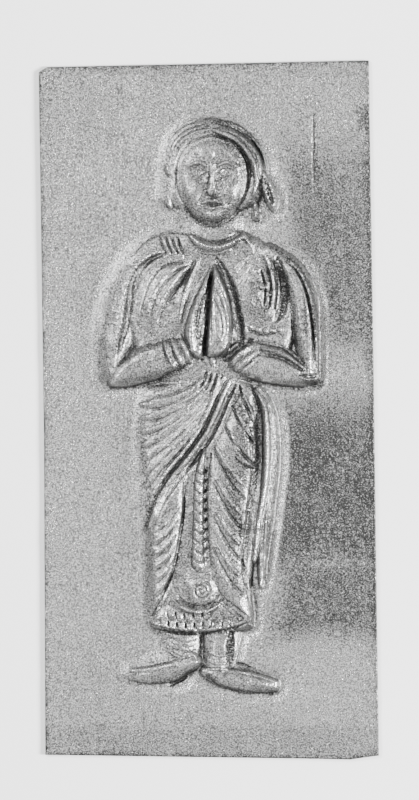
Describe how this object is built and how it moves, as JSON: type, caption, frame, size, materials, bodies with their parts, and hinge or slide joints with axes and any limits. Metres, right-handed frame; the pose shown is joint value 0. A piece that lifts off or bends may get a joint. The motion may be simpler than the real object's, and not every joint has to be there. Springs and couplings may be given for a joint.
{
  "type": "embossed votive plaque",
  "caption": "Thin rectangular silver plaque with an embossed standing woman, hands joined in greeting, in a pleated wrap. Lies on its flat back.",
  "frame": {"origin": "middle of the flat back, in the plane it lies on", "axes": "+Z out of the embossed side, +Y towards the figure's head, +X to the viewer's right"},
  "size_m": [0.051, 0.1048, 0.0039],
  "materials": {
    "silver": "aged silver sheet, tarnished in the hollows"
  },
  "bodies": {
    "root": {"plaque": "silver"}
  },
  "joints": []
}
